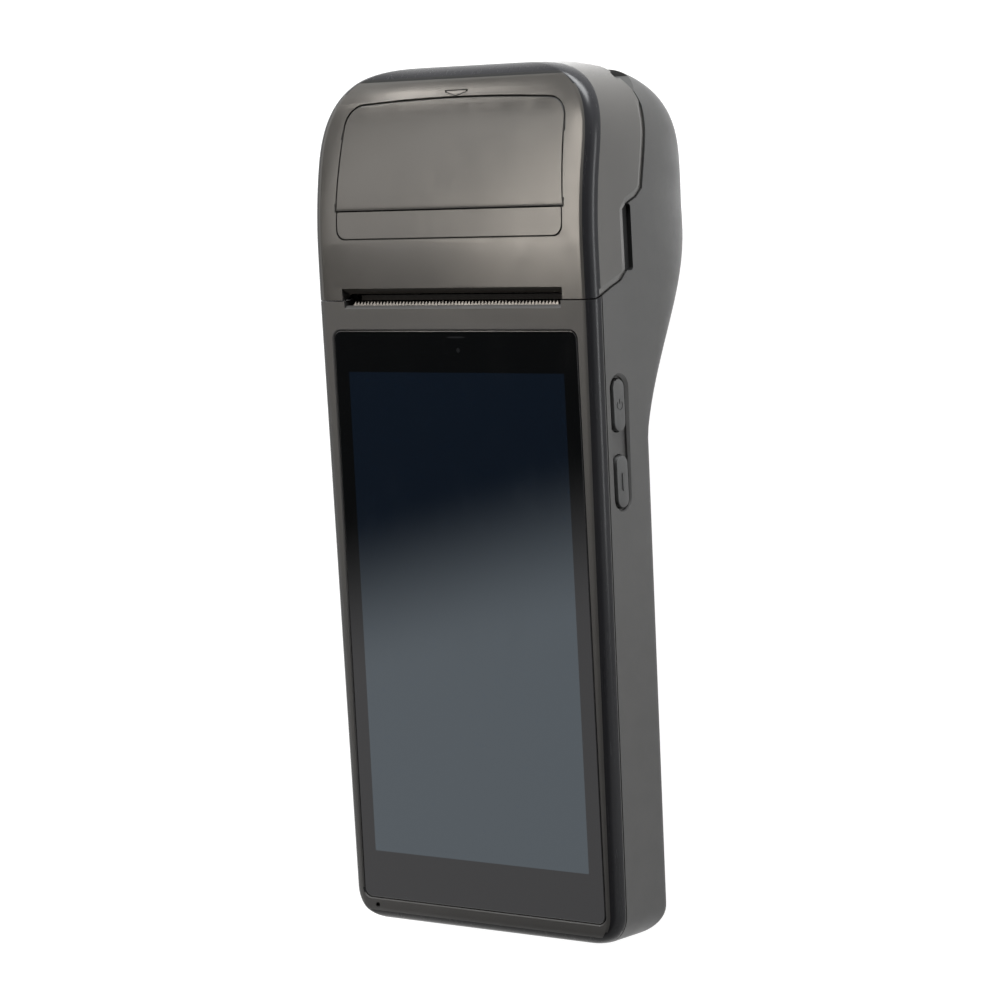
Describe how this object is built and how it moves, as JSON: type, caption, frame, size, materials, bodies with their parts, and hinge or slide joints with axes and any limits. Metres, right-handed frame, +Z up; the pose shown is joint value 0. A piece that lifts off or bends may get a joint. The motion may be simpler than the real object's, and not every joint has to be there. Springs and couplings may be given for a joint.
{
  "type": "handheld payment terminal",
  "caption": "Handheld payment terminal with a touch display, side keys and a clamshell receipt printer under a hinged lid with a release lever.",
  "frame": {"origin": "middle of the bounding box's base: the terminal lies on its back on a table", "axes": "+Z up, +Y towards the printer end, +X to the right of the screen, which faces up and leans 11.9 degrees towards -Y"},
  "size_m": [0.08, 0.1932, 0.0514],
  "materials": {
    "case_plastic": "fine matt moulded texture",
    "lid_plastic": "satin moulded texture",
    "key_plastic": "matt",
    "inner_plastic": "matt black",
    "cover_glass": "polished, dark printed border",
    "display": "unlit display",
    "steel": "plain",
    "aluminium": "plain",
    "rubber": "matt",
    "gear_plastic": "natural",
    "ceramic": "pale ceramic",
    "circuit_board": "solder mask",
    "battery_wrap": "plastic film"
  },
  "bodies": {
    "terminal_body": {"rear_shell": "case_plastic", "front_frame": "case_plastic", "touch_glass": "cover_glass", "lcd_panel": "display", "light_sensor": "inner_plastic", "tear_bar": "steel", "chassis": "inner_plastic", "main_board": "circuit_board", "shield_can_1": "steel", "shield_can_2": "steel", "shield_can_3": "steel", "battery_pack": "battery_wrap", "battery_cover": "case_plastic", "cover_screw_1": "steel", "cover_screw_2": "steel", "cover_screw_3": "steel", "cover_screw_4": "steel", "case_screw_1": "steel", "case_screw_2": "steel", "case_screw_3": "steel", "case_screw_4": "steel", "speaker": "inner_plastic", "charging_port": "steel", "key_board": "circuit_board", "function_switch": "steel", "power_switch": "steel", "printer_frame": "steel", "print_head": "ceramic", "heat_sink": "aluminium", "head_spring_1": "steel", "head_spring_2": "steel", "feed_motor": "steel", "paper_bay": "inner_plastic", "paper_sensor": "inner_plastic", "lid_hinge_pin": "steel"},
    "printer_lid": {"printer_lid": "lid_plastic", "lid_inner_frame": "inner_plastic", "lid_screw_1": "steel", "lid_screw_2": "steel", "lid_screw_3": "steel", "platen_bush_1": "gear_plastic", "platen_bush_2": "gear_plastic", "lever_pin": "steel", "lever_spring": "steel"},
    "release_lever": {"release_lever": "lid_plastic"},
    "platen": {"platen_roller": "rubber", "platen_shaft": "steel", "platen_gear": "gear_plastic"},
    "idler": {"idler_gear": "gear_plastic"},
    "pinion": {"motor_pinion": "gear_plastic"},
    "power_key": {"power_key": "key_plastic"},
    "function_key": {"function_key": "key_plastic"}
  },
  "joints": [
    {"name": "lid_hinge", "type": "hinge", "parent": "terminal_body", "child": "printer_lid", "pos_m": [0, 0.09282, 0.03673], "axis": [-1, 0, 0], "range_deg": [0, 85]},
    {"name": "lever_hinge", "type": "hinge", "parent": "printer_lid", "child": "release_lever", "pos_m": [0, 0.06418, 0.04923], "axis": [1, 0, 0], "range_deg": [0, 45], "stiffness_Nm_per_rad": 0.02, "springref_deg": -11.46},
    {"name": "platen_spin", "type": "hinge", "parent": "printer_lid", "child": "platen", "pos_m": [0, 0.04959, 0.03998], "axis": [1, 0, 0], "continuous": true},
    {"name": "idler_spin", "type": "hinge", "parent": "terminal_body", "child": "idler", "pos_m": [0, 0.04869, 0.02802], "axis": [1, 0, 0], "continuous": true},
    {"name": "pinion_spin", "type": "hinge", "parent": "terminal_body", "child": "pinion", "pos_m": [0, 0.03857, 0.02424], "axis": [1, 0, 0], "continuous": true},
    {"name": "power_key_press", "type": "slide", "parent": "terminal_body", "child": "power_key", "axis": [-1, 0, 0], "range_m": [0, 0.0004], "stiffness_N_per_m": 400, "springref_m": -0.0005},
    {"name": "function_key_press", "type": "slide", "parent": "terminal_body", "child": "function_key", "axis": [-1, 0, 0], "range_m": [0, 0.0004], "stiffness_N_per_m": 400, "springref_m": -0.0005}
  ],
  "couplings": [
    {"joint": "idler_spin", "follows": "platen_spin", "ratio": -0.66667},
    {"joint": "pinion_spin", "follows": "platen_spin", "ratio": 1.3333}
  ]
}
